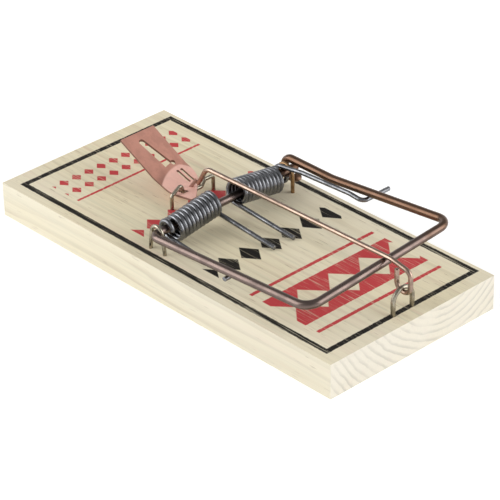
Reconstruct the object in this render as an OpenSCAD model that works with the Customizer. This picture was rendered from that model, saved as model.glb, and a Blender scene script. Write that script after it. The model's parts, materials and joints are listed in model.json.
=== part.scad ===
/* [Board] */
// Length of the wooden board
board_l = 177.8; // [170:0.1:200]
// Width of the wooden board
board_w = 82.55; // [80:0.05:100]
// Thickness of the wooden board
board_t = 14.2; // [12:0.1:18]

/* [Hammer] */
// Diameter of the hammer wire
hammer_wire_d = 3.3; // [2.8:0.1:3.6]
// Distance of the pivot rod behind the middle of the board
pivot_back = 8.9; // [6:0.1:12]
// Height of the pivot rod's centre over the board
rod_lift = 7.6; // [7.4:0.1:9]
// Distance of the near arm from the middle line
near_arm_y = 35.7; // [35.5:0.1:38]
// Distance from the pivot rod to the crossbar
hammer_reach = 81.4; // [78:0.1:84]
// Height of the crossbar's near end over the board
near_corner_lift = 13; // [12:0.1:14]
// Height of the crossbar's far end over the board
far_corner_lift = 18; // [17:0.1:19]
// Bend radius where the rod turns into the near arm
rod_bend_r = 3.6; // [3.4:0.1:4]
// Bend radius of the crossbar's two corners
corner_bend_r = 5.5; // [4:0.1:8]
// Radius of the eye that closes round the rod, at the wire's centre
eye_r = 3.9; // [3.6:0.05:4.2]
// Angle that the eye wraps round the rod
eye_wrap = 235; // [180:5:270]
// Length of the rod's free end beyond the eye's middle
rod_end = 2; // [1.8:0.1:4]
// Distance from the rod to the kink in the far arm
kink_x = 21.5; // [20:0.1:30]

/* [Springs] */
// Diameter of the spring wire
spring_wire_d = 1.8; // [1.4:0.05:1.9]
// Radius of the coils, at the wire's centre
coil_r = 4.35; // [4.3:0.05:4.4]
// Full turns in each coil
coil_turns = 11; // [8:1:12]
// Slope of the coils against the level rod
coil_slope = 0.15; // [0.12:0.005:0.155]
// Inner end of the near coil, from the middle line
near_coil_in = 4.3; // [4:0.1:5]
// Inner end of the far coil, from the middle line
far_coil_in = 5.5; // [5.3:0.1:6]
// Length of each coil along the rod
coil_l = 21.9; // [21:0.1:22.5]
// Radius of the last turn, which rides round the rod with the hammer
rider_r = 3.1; // [2.8:0.05:3.3]
// Distance from the rod to each fixed leg's end
fixed_leg_l = 29.7; // [26:0.1:34]
// Distance from the rod to each active leg's hook
active_leg_l = 40.5; // [36:0.1:46]
// Length of the near leg's hook across its arm
near_hook_l = 4.6; // [4:0.1:8]
// Length of the far leg's hook across its arm
far_hook_l = 13.8; // [4:0.1:16]

/* [Lock bar] */
// Diameter of the lock bar's wire
lock_wire_d = 1.85; // [1.6:0.05:2]
// Distance of the lock bar from the middle line
lock_y = 1.5; // [1:0.1:2]
// Distance of the lock bar's staple from the middle of the board
lock_staple_x = 82.1; // [81:0.1:83.5]
// Height of that staple's crown over the board, at the wire's centre
lock_staple_lift = 9.6; // [8.5:0.1:10]
// Radius of the lock bar's eye, at the wire's centre
lock_eye_r = 3.35; // [3.2:0.05:3.6]
// Rise of the bar along its length, as a slope
lock_slope = 0.0195; // [0.01:0.0005:0.03]
// Distance from the pivot rod back to the bend above the hooked tip
lock_hook_back = 10; // [9:0.1:11]
// Reach of the hooked tip beyond that bend
lock_tip_reach = 5.6; // [5:0.05:6.5]

/* [Pedal] */
// Thickness of the pedal's sheet
sheet_t = 0.9; // [0.6:0.05:1]
// Width of the pedal
pedal_w = 16.4; // [15:0.1:18]
// Distance from the pivot rod back to the pedal's hinge
pedal_hinge_back = 19; // [18.5:0.1:19.5]
// Height of the pad over the board at the hinge, at its upper face
pad_lift = 5.5; // [5.2:0.05:5.8]
// Slope of the pad
pad_slope = 0.17; // [0.1:0.01:0.2]
// Slope of the bait plate
bait_slope = 0.47; // [0.4:0.01:0.55]
// Distance from the hinge back to the bait end
bait_reach = 31.1; // [28:0.1:34]
// Distance from the hinge back to the fold between bait plate and pad
fold_back = 5.7; // [5:0.1:7]
// Radius of that fold
fold_r = 16; // [10:1:20]
// Distance from the hinge to the pad's front edge
pad_front = 8.7; // [8:0.1:9.5]
// Distance along the hinge from the lock bar to the pad's skew front edge
skew_edge_y = 2.7; // [2.5:0.1:3.5]
// Length of the bait slot
bait_slot_l = 13.4; // [10:0.1:15]
// Width of the bait slot at its wide, square end
bait_slot_w = 4; // [3:0.1:4.5]
// Width of the bait slot at its narrow, round end
bait_slot_tip_w = 2.6; // [2:0.1:2.8]
// Angle by which the bait slot is turned from the pedal's length
bait_slot_turn = 12; // [0:1:14]
// Distance from the hinge back to the middle of the bait slot
bait_slot_back = 21.4; // [20.5:0.1:22]
// Diameter of the small hole beside the fold
small_hole_d = 2; // [1.5:0.1:2.5]
// Width of the raised catch that holds the lock bar's tip
catch_w = 3; // [2.6:0.1:3.2]
// Slope of the raised catch
catch_slope = 0.75; // [0.6:0.05:0.9]
// Overhang of the catch over the lock bar's tip
catch_bite = 0.45; // [0.3:0.05:0.6]

/* [Staples] */
// Diameter of the two pivot staples' wire
pivot_staple_d = 1.5; // [1.2:0.05:1.8]
// Distance between the legs of a pivot staple
pivot_staple_w = 7.6; // [7.4:0.1:8]
// Height of the pivot staples' crown over the board, at the wire's centre
pivot_staple_lift = 10.8; // [10.8:0.1:12]
// Diameter of the lock bar staple's wire
lock_staple_d = 1.8; // [1.6:0.05:1.9]
// Distance between the legs of the lock bar's staple
lock_staple_w = 9.6; // [9:0.1:10.5]
// Diameter of the pedal staple's wire
pedal_staple_d = 1.5; // [1.2:0.05:1.6]
// Distance of the pedal staple's legs from the lock bar's line
pedal_staple_y = 10.5; // [9.8:0.1:11]
// Depth to which the staples are driven into the board
staple_depth = 9; // [6:0.5:10]

/* [Clearances] */
// Gap round a staple's leg in its hole
hole_gap = 0.05; // [0.02:0.01:0.1]
// Gap between parts that press on each other
seat_gap = 0.2; // [0.1:0.05:0.3]
// Gap between a moving part and what it turns past
run_gap = 0.25; // [0.15:0.05:0.3]
// Gap between the far spring's last turn and the pivot staple beside it
far_staple_gap = 0.6; // [0.3:0.05:0.8]
// Gap between that staple and the eye of the far arm
far_arm_gap = 1.1; // [0.5:0.05:1.5]

/* [Hidden] */
$fn = 48;

// Faces round the spring wire and round thicker wire
coil_sides = 8;
wire_sides = 16;
// Steps in one turn of a coil, and the angle between two points of bent wire
coil_steps = 20;
wire_step = 10;
// A swept wire that runs into a round one is this much thinner, and runs in this far
run_in_share = 0.99;
run_in = 1;
// Lengths of bent wire stop this short of each other, in a ball this much larger than the wire
join_gap = 0.01;
join_swell = 0.02;
// Angle between two points of a bent sheet's outline
sheet_step = 6;

// Pivot rod
rod_x = -pivot_back;
rod_z = board_t + rod_lift;
hammer_wire_r = hammer_wire_d / 2;
spring_wire_r = spring_wire_d / 2;
pivot_staple_r = pivot_staple_d / 2;

// Places along the rod: the last turns of the springs, the pivot staples and the far arm
near_rider_y = -(near_coil_in + coil_l + spring_wire_d + run_gap);
far_rider_y = far_coil_in + coil_l + spring_wire_d + run_gap;
near_staple_y = -(near_arm_y - hammer_wire_r - run_gap - pivot_staple_r);
far_staple_y = far_rider_y + spring_wire_r + far_staple_gap + pivot_staple_r;
far_arm_y = far_staple_y + pivot_staple_r + far_arm_gap + hammer_wire_r;

// Hammer frame
front_x = rod_x + hammer_reach;
near_corner = [front_x, -near_arm_y, board_t + near_corner_lift];
far_corner = [front_x, far_arm_y, board_t + far_corner_lift];
kink = [rod_x + kink_x, far_arm_y, rod_z + eye_r];
kink_bend_r = 20;

// Springs
turns = coil_turns + 0.5;
rider_wrap = 270;
rider_top = rod_z + rider_r;
hook_x = rod_x + active_leg_l;
leg_bend_r = 2.5;
leg_sweep_r = 12;
// Sideways run of each fixed leg, which both lean the same way
fixed_leg_drift = 1.8;
fixed_leg_z = board_t + spring_wire_r + seat_gap;
// The active legs lean out to just inside their arms before they hook under them
leg_beside_arm = hammer_wire_r + spring_wire_r + 0.4;
// Kinks of the active legs, as a run and a rise from the hook or from the last turn
near_kink = [-18.6, -0.8];
near_kink_drift = 2;
far_kink = [10.9, 1.1];
far_kink_drift = 0.7;
far_crest = [-6.6, 0.9];
far_crest_drift = 0.4;

// Lock bar
lock_wire_r = lock_wire_d / 2;
lock_staple_r = lock_staple_d / 2;
lock_pivot_z = board_t + lock_staple_lift;
lock_eye_z = lock_pivot_z + lock_eye_r - lock_wire_r - lock_staple_r - run_gap;
lock_staple_y = 1;
shoulder_back = 6.1;
shoulder_drop = 1.8;
strand_gap = 1;
front_bend_r = 3;
lock_hook_x = rod_x - lock_hook_back;
lock_tip = [lock_hook_x - lock_tip_reach, lock_y, lock_bar_z(lock_hook_x) - 1.5 * lock_tip_reach];

// Pedal
hinge_x = rod_x - pedal_hinge_back;
pedal_staple_r = pedal_staple_d / 2;
pedal_hinge_z = board_t + pad_lift - sheet_t - run_gap / 2 - pedal_staple_r;
fold_x = hinge_x - fold_back;
bait_x = hinge_x - bait_reach;
front_edge_x = hinge_x + pad_front;
pedal_near_y = lock_y - pedal_w / 2;
skew_y = lock_y + skew_edge_y;
pedal_far_y = lock_y + pedal_w / 2;
small_hole = [hinge_x - 14.9, lock_y + 3.7];
staple_hole = [hinge_x, lock_y - 4.8];
staple_hole_l = 3.8;
staple_hole_w = 2.7;
window = [hinge_x - 7.6, lock_y + 3.3];
window_l = 7.4;
window_w = 3.1;
window_bridge_w = 0.8;

// Staples
foot_z = board_t - staple_depth;

function unit(v) = v / norm(v);
function reversed(v) = [for (i = [len(v) - 1:-1:0]) v[i]];

// Height of the near arm, far arm, crossbar and lock bar at a place along them
function near_arm_z(x) = rod_z + (near_corner.z - rod_z) * (x - rod_x) / hammer_reach;
function far_arm_z(x) =
    kink.z + (far_corner.z - kink.z) * max(0, x - kink.x) / (front_x - kink.x);
function crossbar_z(y) =
    near_corner.z + (far_corner.z - near_corner.z) * (y + near_arm_y) / (near_arm_y + far_arm_y);
function lock_bar_z(x) =
    crossbar_z(lock_y) + hammer_wire_r + lock_wire_r + seat_gap + lock_slope * (x - front_x);

// Height of the pedal's pad and bait plate, upper face
function pad_z(x) = board_t + pad_lift + pad_slope * (x - hinge_x);
function bait_z(x) = pad_z(fold_x) + bait_slope * (fold_x - x);

// Stands the children at a place, with their own X and Z axes turned to x and z
module stand(place, x, z) {
    y = cross(z, x);
    multmatrix([
        [x.x, y.x, z.x, place.x],
        [x.y, y.y, z.y, place.y],
        [x.z, y.z, z.z, place.z],
        [0, 0, 0, 1]
    ]) children();
}

// Straight length of wire
module straight(from, to, d) {
    along = unit(to - from);
    across = unit(cross(along, abs(along.z) < 0.9 ? [0, 0, 1] : [1, 0, 0]));
    stand(from, across, along) cylinder(h = norm(to - from), d = d);
}

// Wire bent round a centre, from a start point, by an angle about an axis
module bend(centre, start, axis, angle, d) {
    stand(centre, unit(start - centre), axis)
        rotate_extrude(angle = angle) translate([norm(start - centre), 0]) circle(d = d);
}

// Change of direction at a corner of a path, and the length that its bend takes up
function turn(p, i) = acos(unit(p[i] - p[i - 1]) * unit(p[i + 1] - p[i]));
function taken(p, r, i) = i == 0 || i == len(p) - 1 ? 0 : r[i] * tan(turn(p, i) / 2);

// Wire along a path, with a bend radius at each corner
module bent_wire(p, r, d) {
    last = len(p) - 1;
    for (i = [0:last - 1]) {
        along = unit(p[i + 1] - p[i]);
        start = p[i] + along * (taken(p, r, i) + (i > 0 ? join_gap : 0));
        end = p[i + 1] - along * (taken(p, r, i + 1) + (i + 1 < last ? join_gap : 0));
        straight(start, end, d);
    }
    for (i = [1:last - 1]) {
        along = unit(p[i] - p[i - 1]);
        axis = unit(cross(along, p[i + 1] - p[i]));
        start = p[i] - along * taken(p, r, i);
        bend(start + r[i] * cross(axis, along), start, axis, turn(p, i), d);
        join(start, d);
        join(p[i] + unit(p[i + 1] - p[i]) * taken(p, r, i), d);
    }
}

// Ball that joins two lengths of wire where one ends and the next begins
module join(place, d) {
    translate(place) sphere(d = d + 2 * join_swell);
}

// Points along a path whose corners are rounded, and along an arc from a start point
function rounded(p, r) = [for (i = [0:len(p) - 1])
    if (i == 0 || i == len(p) - 1)
        p[i]
    else
        let (along = unit(p[i] - p[i - 1]))
        let (start = p[i] - along * taken(p, r, i))
        let (inward = unit(p[i + 1] - start - ((p[i + 1] - start) * along) * along))
        let (steps = ceil(turn(p, i) / wire_step))
        for (k = [0:steps])
            let (a = turn(p, i) * k / steps)
            start + r[i] * (sin(a) * along + (1 - cos(a)) * inward)];
function arc(centre, start, axis, angle) = [
    let (steps = ceil(angle / wire_step))
    for (k = [1:steps])
        let (a = angle * k / steps)
        centre + cos(a) * (start - centre) + sin(a) * cross(axis, start - centre)];

// Unit vectors that stay square to a row of directions and turn with them as little as possible
function carried(ways, i, v) = i == len(ways) ? []
    : let (square = unit(v - (v * ways[i]) * ways[i])) concat([square], carried(ways, i + 1, square));

// Wire swept along many points, with flat faces round it
module swept_wire(points, d, sides) {
    last = len(points) - 1;
    ways = [for (i = [0:last])
        let (before = i == 0 ? points[1] - points[0] : points[i] - points[i - 1])
        let (after = i == last ? points[last] - points[last - 1] : points[i + 1] - points[i])
        unit(unit(before) + unit(after))];
    ups = carried(ways, 0, abs(ways[0].z) < 0.9 ? [0, 0, 1] : [1, 0, 0]);
    rings = [for (i = [0:last]) for (j = [0:sides - 1])
        let (a = 360 * j / sides)
        points[i] + d / 2 * (cos(a) * ups[i] + sin(a) * cross(ways[i], ups[i]))];
    walls = [for (i = [0:last - 1]) for (j = [0:sides - 1])
        let (k = (j + 1) % sides)
        [i * sides + j, (i + 1) * sides + j, (i + 1) * sides + k, i * sides + k]];
    start = [for (j = [0:sides - 1]) j];
    end = [for (j = [sides - 1:-1:0]) last * sides + j];
    polyhedron(rings, concat([start], walls, [end]), convexity = 10);
}

// Wooden board with a blind hole for each staple leg
module base() {
    color("wheat") difference() {
        translate([-board_l / 2, -board_w / 2, 0]) cube([board_l, board_w, board_t]);
        for (y = [near_staple_y, far_staple_y], side = [-1, 1])
            leg_hole(rod_x + side * pivot_staple_w / 2, y, pivot_staple_d);
        for (side = [-1, 1]) {
            leg_hole(lock_staple_x, lock_staple_y + side * lock_staple_w / 2, lock_staple_d);
            leg_hole(hinge_x, lock_y + side * pedal_staple_y, pedal_staple_d);
        }
    }
}

module leg_hole(x, y, wire_d) {
    translate([x, y, foot_z]) cylinder(h = staple_depth + 1, d = wire_d + 2 * hole_gap);
}

// One bent wire: rod, near arm, crossbar, far arm and the eye round the rod's far end
module hammer() {
    rod_near_y = -near_arm_y + rod_bend_r;
    eye_top = [rod_x, far_arm_y, kink.z];
    frame = rounded(
        [[rod_x, rod_near_y + run_in, rod_z], [rod_x, -near_arm_y, rod_z], near_corner,
            far_corner, kink, eye_top],
        [0, rod_bend_r, corner_bend_r, corner_bend_r, kink_bend_r, 0]);
    eye = arc([rod_x, far_arm_y, rod_z], eye_top, [0, -1, 0], eye_wrap);
    color("sienna") {
        straight([rod_x, rod_near_y, rod_z], [rod_x, far_arm_y + rod_end, rod_z], hammer_wire_d);
        swept_wire(concat(frame, eye), run_in_share * hammer_wire_d, wire_sides);
    }
}

// Coil and fixed leg of a spring: side is -1 for the near one and 1 for the far one
module spring(side, inner, leg_drift) {
    coil = [for (i = [0:turns * coil_steps])
        let (angle = 360 * i / coil_steps)
        let (out = coil_l * i / (turns * coil_steps))
        let (middle = rod_z + coil_slope * (coil_l / 2 - out))
        [rod_x - coil_r * sin(angle), side * (inner + out), middle - coil_r * cos(angle)]];
    leg_end = [rod_x + fixed_leg_l, coil[0].y + leg_drift, fixed_leg_z];
    color("dimgray") swept_wire(concat([leg_end], coil), spring_wire_d, coil_sides);
}

module near_spring() {
    spring(-1, near_coil_in, fixed_leg_drift);
}

module far_spring() {
    spring(1, far_coil_in, fixed_leg_drift);
}

// Last turn of a spring, which rides round the rod with the hammer, and the leg that goes on from it
module spring_arm(start, back_axis, path, r) {
    turn_round = arc([rod_x, start.y, rod_z], start, back_axis, rider_wrap);
    color("dimgray")
        swept_wire(concat(reversed(turn_round), rounded(concat([start], path), r)), spring_wire_d,
            coil_sides);
}

module near_spring_arm() {
    hook_z = near_arm_z(hook_x) - hammer_wire_r - spring_wire_r - seat_gap;
    hook_y = -near_arm_y + leg_beside_arm;
    spring_arm([rod_x, near_rider_y, rod_z - rider_r], [0, 1, 0],
        [[hook_x + near_kink.x, near_rider_y - near_kink_drift, hook_z + near_kink.y],
            [hook_x, hook_y, hook_z],
            [hook_x, hook_y - near_hook_l, hook_z]],
        [0, leg_sweep_r, leg_bend_r, 0]);
}

module far_spring_arm() {
    hook_z = far_arm_z(hook_x) - hammer_wire_r - spring_wire_r - seat_gap;
    hook_y = far_arm_y - leg_beside_arm;
    spring_arm([rod_x, far_rider_y, rider_top], [0, -1, 0],
        [[rod_x + far_kink.x, far_rider_y + far_kink_drift, rider_top + far_kink.y],
            [hook_x + far_crest.x, hook_y - far_crest_drift, hook_z + far_crest.y],
            [hook_x, hook_y, hook_z],
            [hook_x, hook_y + far_hook_l, hook_z]],
        [0, leg_sweep_r, leg_sweep_r, leg_bend_r, 0]);
}

// One bent wire: hooked tip, long bar and the eye round its staple's crown
module lock_bar() {
    shoulder = [lock_staple_x - shoulder_back, lock_y, lock_bar_z(lock_staple_x - shoulder_back)];
    eye = [lock_staple_x, lock_y, lock_eye_z];
    across = [lock_eye_r, 0, 0];
    front_top = [eye.x + lock_eye_r, lock_y, shoulder.z - shoulder_drop];
    strand_top = [0, 0, front_top.z - front_bend_r - lock_eye_z];
    rear_top = [0, 0, shoulder.z - lock_wire_d - strand_gap - lock_eye_z];
    bar = rounded(
        [lock_tip, [lock_hook_x, lock_y, lock_bar_z(lock_hook_x)], shoulder, front_top,
            eye + across + strand_top - [0, 0, run_in]],
        [0, 1.8, 10, front_bend_r, 0]);
    color("rosybrown") {
        bend(eye, eye + across, [0, 1, 0], 180, lock_wire_d);
        straight(eye + across, eye + across + strand_top, lock_wire_d);
        straight(eye - across, eye - across + rear_top, lock_wire_d);
        swept_wire(bar, run_in_share * lock_wire_d, wire_sides);
    }
}

// Arched wire staple that stands in the board, its legs apart along the given unit vector
module arch_staple(place, along, width, crown_z, d) {
    across = along * width / 2;
    foot = [place.x, place.y, foot_z];
    arch = [place.x, place.y, crown_z - width / 2];
    for (side = [-1, 1])
        straight(foot + side * across, arch + side * across, d);
    bend(arch, arch + across, cross(along, [0, 0, 1]), 180, d);
}

module lock_bar_staple() {
    color("darkkhaki")
        arch_staple([lock_staple_x, lock_staple_y], [0, 1, 0], lock_staple_w, lock_pivot_z,
            lock_staple_d);
}

module near_pivot_staple() {
    color("darkkhaki")
        arch_staple([rod_x, near_staple_y], [1, 0, 0], pivot_staple_w, board_t + pivot_staple_lift,
            pivot_staple_d);
}

module far_pivot_staple() {
    color("peru")
        arch_staple([rod_x, far_staple_y], [1, 0, 0], pivot_staple_w, board_t + pivot_staple_lift,
            pivot_staple_d);
}

// Outline of a sheet bent along a path: one side of it, set off to the left of the path
function left(v) = [-v.y, v.x];
function turned(v, a) = [v.x * cos(a) - v.y * sin(a), v.x * sin(a) + v.y * cos(a)];
function bent_edge(p, r, off) = [for (i = [0:len(p) - 1])
    let (last = len(p) - 1)
    if (i == 0 || i == last)
        p[i] + off * left(unit(p[max(i, 1)] - p[max(i, 1) - 1]))
    else
        let (along = unit(p[i] - p[i - 1]))
        let (side = sign(left(along) * (p[i + 1] - p[i])))
        let (centre = p[i] - along * taken(p, r, i) + side * r[i] * left(along))
        let (steps = ceil(turn(p, i) / sheet_step))
        for (k = [0:steps])
            centre - (side * r[i] - off) * turned(left(along), side * turn(p, i) * k / steps)];

// Sheet bent along a path in the XZ plane, from its upper face down
module bent_sheet(p, r, t) {
    polygon(concat(bent_edge(p, r, 0), reversed(bent_edge(p, r, -t))));
}

// Turns an outline in XZ into a solid between two places along Y
module between(y0, y1) {
    translate([0, y1, 0]) rotate([90, 0, 0]) linear_extrude(y1 - y0) children();
}

// What is cut through the pedal's sheet, drawn from above
module pedal_cuts() {
    skew = hinge_x + skew_y;
    past = front_edge_x + 1;
    polygon([[skew - pedal_far_y - 1, pedal_far_y + 1], [past, pedal_far_y + 1], [past, skew - past]]);
    translate(staple_hole) slot(staple_hole_l, staple_hole_w);
    translate([hinge_x - bait_slot_back, lock_y]) rotate(bait_slot_turn) bait_slot();
    translate(small_hole) circle(d = small_hole_d);
    translate(window) difference() {
        slot(window_l, window_w);
        translate([-window_l / 2 - 1, -window_bridge_w / 2])
            square([window_l + 2, window_bridge_w]);
    }
}

// Slot with one round end, square at its +X end
module slot(l, w) {
    translate([(w - l) / 2, 0]) circle(d = w);
    translate([(w - l) / 2, -w / 2]) square([l - w / 2, w]);
}

// Slot that widens from its round end to its square end
module bait_slot() {
    tip_x = (bait_slot_tip_w - bait_slot_l) / 2;
    end_x = bait_slot_l / 2;
    translate([tip_x, 0]) circle(d = bait_slot_tip_w);
    polygon([[tip_x, -bait_slot_tip_w / 2], [end_x, -bait_slot_w / 2], [end_x, bait_slot_w / 2],
        [tip_x, bait_slot_tip_w / 2]]);
}

// Raised catch whose lip stands over the lock bar's tip
module catch() {
    fall = unit([-1, -1.5]);
    tip = [lock_tip.x, lock_tip.z] + lock_wire_r * [fall.y, -fall.x];
    lip = tip + catch_bite * [1, 1.5] + [0, run_gap];
    rise = sheet_t / cos(atan(catch_slope));
    root_x = lip.x - (lip.y - pad_z(lip.x)) / (catch_slope - pad_slope);
    back_x = lip.x - (lip.y + rise - pad_z(lip.x)) / (catch_slope - pad_slope);
    between(lock_y - catch_w / 2, lock_y + catch_w / 2)
        polygon([lip, lip + [0, rise], [back_x, pad_z(back_x)],
            [back_x, pad_z(back_x) - sheet_t / 2], [root_x, pad_z(root_x) - sheet_t / 2]]);
}

// One stamping: bait plate, pad with its skew front edge, and catch
module pedal() {
    path = [[bait_x, bait_z(bait_x)], [fold_x, pad_z(fold_x)],
        [front_edge_x, pad_z(front_edge_x)]];
    color("indianred") {
        difference() {
            between(pedal_near_y, pedal_far_y) bent_sheet(path, [0, fold_r, 0], sheet_t);
            translate([0, 0, board_t]) linear_extrude(30) pedal_cuts();
        }
        catch();
    }
}

// Bent wire whose bar under the pad is the pedal's hinge pin
module pedal_staple() {
    near_y = lock_y - pedal_staple_y;
    far_y = lock_y + pedal_staple_y;
    hold_z = board_t + 5.6;
    far_z = board_t + 6.2;
    path = [[near_y, foot_z], [near_y, hold_z], [near_y + 4.8, hold_z + 2.9],
        [near_y + 5.9, pedal_hinge_z], [skew_y + 1.7, pedal_hinge_z], [skew_y + 3.4, far_z],
        [far_y, far_z], [far_y, foot_z]];
    color("darkkhaki")
        bent_wire([for (q = path) [hinge_x, q.x, q.y]], [0, 1.2, 0.9, 0.9, 0.9, 0.9, 1.2, 0],
            pedal_staple_d);
}

base();
hammer();
near_spring();
near_spring_arm();
far_spring();
far_spring_arm();
lock_bar();
lock_bar_staple();
pedal();
pedal_staple();
near_pivot_staple();
far_pivot_staple();
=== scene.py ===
"""Snap trap: pine board, wire hammer with two coil springs, lock bar, staples and bait pedal."""

import json
import math

import bpy
from mathutils import Matrix, Vector


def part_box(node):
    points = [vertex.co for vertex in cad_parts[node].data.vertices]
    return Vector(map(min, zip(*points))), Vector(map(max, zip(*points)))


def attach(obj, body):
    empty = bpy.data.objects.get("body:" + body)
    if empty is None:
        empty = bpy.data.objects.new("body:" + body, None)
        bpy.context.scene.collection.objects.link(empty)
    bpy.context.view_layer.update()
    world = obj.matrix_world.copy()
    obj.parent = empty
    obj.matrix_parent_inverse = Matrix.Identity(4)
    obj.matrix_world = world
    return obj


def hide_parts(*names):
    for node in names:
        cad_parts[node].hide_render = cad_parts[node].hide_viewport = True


bl_info = {
    "name": "Snap Trap",
    "version": (1, 0, 0),
    "blender": (4, 5, 0),
    "location": "View3D > Sidebar > Snap Trap",
    "description": "Builds the looks of a set snap trap round its packed frame",
    "category": "Object",
}

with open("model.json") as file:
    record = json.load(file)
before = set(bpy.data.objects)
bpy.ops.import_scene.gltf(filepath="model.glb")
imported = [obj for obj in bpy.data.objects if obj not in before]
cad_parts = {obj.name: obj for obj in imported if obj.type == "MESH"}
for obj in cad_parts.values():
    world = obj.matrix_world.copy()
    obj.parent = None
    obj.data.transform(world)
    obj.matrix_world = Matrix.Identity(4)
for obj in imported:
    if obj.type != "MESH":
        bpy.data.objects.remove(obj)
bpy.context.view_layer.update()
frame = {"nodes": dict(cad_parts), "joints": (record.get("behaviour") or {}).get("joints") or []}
MM = 0.001

# Places that the frame gives, in millimetres: board, joints, near pivot staple
BOARD_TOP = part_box("base")[1].z / MM
BOARD_HALF_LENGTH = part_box("base")[1].x / MM
BOARD_HALF_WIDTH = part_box("base")[1].y / MM
JOINTS = {j["name"]: Vector(j["pos_m"]) / MM for j in frame["joints"]}
ROD_X, ROD_Z = JOINTS["hammer_swing"].x, JOINTS["hammer_swing"].z
HINGE_X, LOCK_Y = JOINTS["pedal_tilt"].x, JOINTS["pedal_tilt"].y
LOCK_STAPLE_X, LOCK_STAPLE_Z = JOINTS["lock_bar_swing"].x, JOINTS["lock_bar_swing"].z
NEAR_STAPLE_Y = (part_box("near_pivot_staple")[0].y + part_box("near_pivot_staple")[1].y) / 2 / MM

# The hammer's lines, in millimetres, as in the frame's solids
HAMMER_REACH = 81.4
KINK_REACH = 21.5
FRONT_X = ROD_X + HAMMER_REACH
NEAR_ARM_Y, FAR_ARM_Y = -35.7, 35.2
NEAR_CORNER_Z, FAR_CORNER_Z = BOARD_TOP + 13.0, BOARD_TOP + 18.0
EYE_RADIUS = 3.9
EYE_TOP_Z = ROD_Z + EYE_RADIUS

# Room round the wires, in millimetres: their radii in the frame, the gap at rest and in turning
HAMMER_WIRE_RADIUS = 1.65
SPRING_WIRE_RADIUS, LOCK_STAPLE_RADIUS = 0.9, 0.9
REST_GAP, RUN_GAP = 0.2, 0.25

# Faces round a thin wire, steps in one turn of a coil, largest angle of one step in a bend
THIN_SIDES = 16
TURN_STEPS = 28
BEND_STEP = math.radians(7.5)

# Radius in millimetres of the springs' last turns, which go round the rod and turn with the hammer
RIDER_RADIUS = 3.1

# The pedal's upright cutters, in millimetres: their height and the level of their middle
CUTTER_HEIGHT = 30
CUTTER_Z = BOARD_TOP + 10


# ---------------------------------------------------------------- settings


class TRAP_PG_wires(bpy.types.PropertyGroup):
    """Sizes of the bent wires"""

    hammer_thick: bpy.props.FloatProperty(
        name="Hammer wire", description="Diameter of the hammer's wire in millimetres", default=3.27
    )
    spring_thick: bpy.props.FloatProperty(
        name="Spring wire", description="Diameter of the springs' wire in millimetres", default=1.8
    )
    coil_radius: bpy.props.FloatProperty(
        name="Coil radius", description="Radius of the coils at the wire's centre in millimetres",
        default=4.35,
    )
    coil_turns: bpy.props.FloatProperty(
        name="Turns", description="Turns in each coil", default=11.5
    )
    coil_length: bpy.props.FloatProperty(
        name="Coil length", description="Length of each coil along the rod in millimetres", default=21.2
    )
    coil_tilt: bpy.props.FloatProperty(
        name="Coil tilt", description="Angle of the coils against the level rod", default=math.atan(0.15),
        subtype="ANGLE",
    )
    lock_thick: bpy.props.FloatProperty(
        name="Lock bar wire", description="Diameter of the lock bar's wire in millimetres", default=1.83
    )
    sides: bpy.props.IntProperty(
        name="Sides", description="Faces round each wire", default=24, min=8, max=64
    )


class TRAP_PG_pedal(bpy.types.PropertyGroup):
    """Sizes of the bent pedal"""

    thick: bpy.props.FloatProperty(
        name="Thickness", description="Thickness of the sheet in millimetres", default=0.9
    )
    width: bpy.props.FloatProperty(
        name="Width", description="Width of the pedal in millimetres", default=16.4
    )
    pad_lift: bpy.props.FloatProperty(
        name="Pad height", description="Height of the pad over the board at its hinge in millimetres",
        default=5.5,
    )
    pad_slope: bpy.props.FloatProperty(
        name="Pad slope", description="Rise of the pad towards the rod", default=0.17
    )
    neck_slope: bpy.props.FloatProperty(
        name="Neck slope", description="Rise of the neck towards the bait", default=0.3
    )
    bait_slope: bpy.props.FloatProperty(
        name="Bait slope", description="Rise of the bait plate away from the rod", default=0.5
    )
    bait_reach: bpy.props.FloatProperty(
        name="Bait reach", description="Distance from the hinge to the bait end in millimetres", default=31.1
    )
    corner_radius: bpy.props.FloatProperty(
        name="Corner", description="Radius of the pad's far corner in millimetres", default=11.0
    )


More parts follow.
